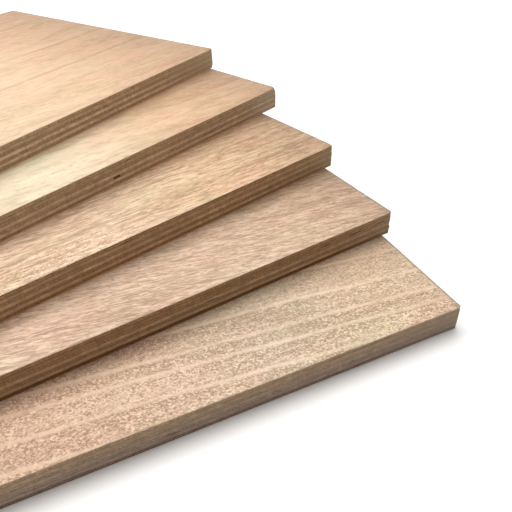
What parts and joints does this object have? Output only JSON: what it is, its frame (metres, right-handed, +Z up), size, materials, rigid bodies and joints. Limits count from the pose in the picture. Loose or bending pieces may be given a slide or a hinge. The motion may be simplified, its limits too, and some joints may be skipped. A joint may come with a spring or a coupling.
{
  "type": "stack of plywood sheets",
  "caption": "Fanned stack of small plywood sheets lying flat, with thin sanded face veneers and cross-laminated plies showing on the sawn edges.",
  "frame": {"origin": "centre of the bottom sheet's underside, on the floor", "axes": "+Z up through the stack; +X along the bottom sheet's length, towards its fanned-out end; +Y across the bottom sheet, the way the sheets above turn"},
  "size_m": [0.4695, 0.389, 0.0575],
  "materials": {
    "face_veneer": "sanded tropical hardwood face veneer, unfinished, with open pores",
    "back_veneer": "sanded hardwood back veneer, unfinished",
    "crossband": "sawn end grain of a cross-laid veneer, unfinished",
    "long_ply": "sawn long grain of a lengthwise veneer, unfinished"
  },
  "bodies": {
    "root": {"sheet_1_back_veneer": "back_veneer", "sheet_1_crossband_1": "crossband", "sheet_1_long_ply_1": "long_ply", "sheet_1_crossband_2": "crossband", "sheet_1_long_ply_2": "long_ply", "sheet_1_crossband_3": "crossband", "sheet_1_long_ply_3": "long_ply", "sheet_1_crossband_4": "crossband", "sheet_1_face_veneer": "face_veneer", "sheet_2_back_veneer": "back_veneer", "sheet_2_crossband_1": "crossband", "sheet_2_long_ply_1": "long_ply", "sheet_2_crossband_2": "crossband", "sheet_2_long_ply_2": "long_ply", "sheet_2_crossband_3": "crossband", "sheet_2_long_ply_3": "long_ply", "sheet_2_crossband_4": "crossband", "sheet_2_face_veneer": "face_veneer", "sheet_3_back_veneer": "back_veneer", "sheet_3_crossband_1": "crossband", "sheet_3_long_ply_1": "long_ply", "sheet_3_crossband_2": "crossband", "sheet_3_long_ply_2": "long_ply", "sheet_3_crossband_3": "crossband", "sheet_3_long_ply_3": "long_ply", "sheet_3_crossband_4": "crossband", "sheet_3_face_veneer": "face_veneer", "sheet_4_back_veneer": "back_veneer", "sheet_4_crossband_1": "crossband", "sheet_4_long_ply_1": "long_ply", "sheet_4_crossband_2": "crossband", "sheet_4_long_ply_2": "long_ply", "sheet_4_crossband_3": "crossband", "sheet_4_long_ply_3": "long_ply", "sheet_4_crossband_4": "crossband", "sheet_4_face_veneer": "face_veneer", "sheet_5_back_veneer": "back_veneer", "sheet_5_crossband_1": "crossband", "sheet_5_long_ply_1": "long_ply", "sheet_5_crossband_2": "crossband", "sheet_5_long_ply_2": "long_ply", "sheet_5_crossband_3": "crossband", "sheet_5_long_ply_3": "long_ply", "sheet_5_crossband_4": "crossband", "sheet_5_face_veneer": "face_veneer"}
  },
  "joints": []
}
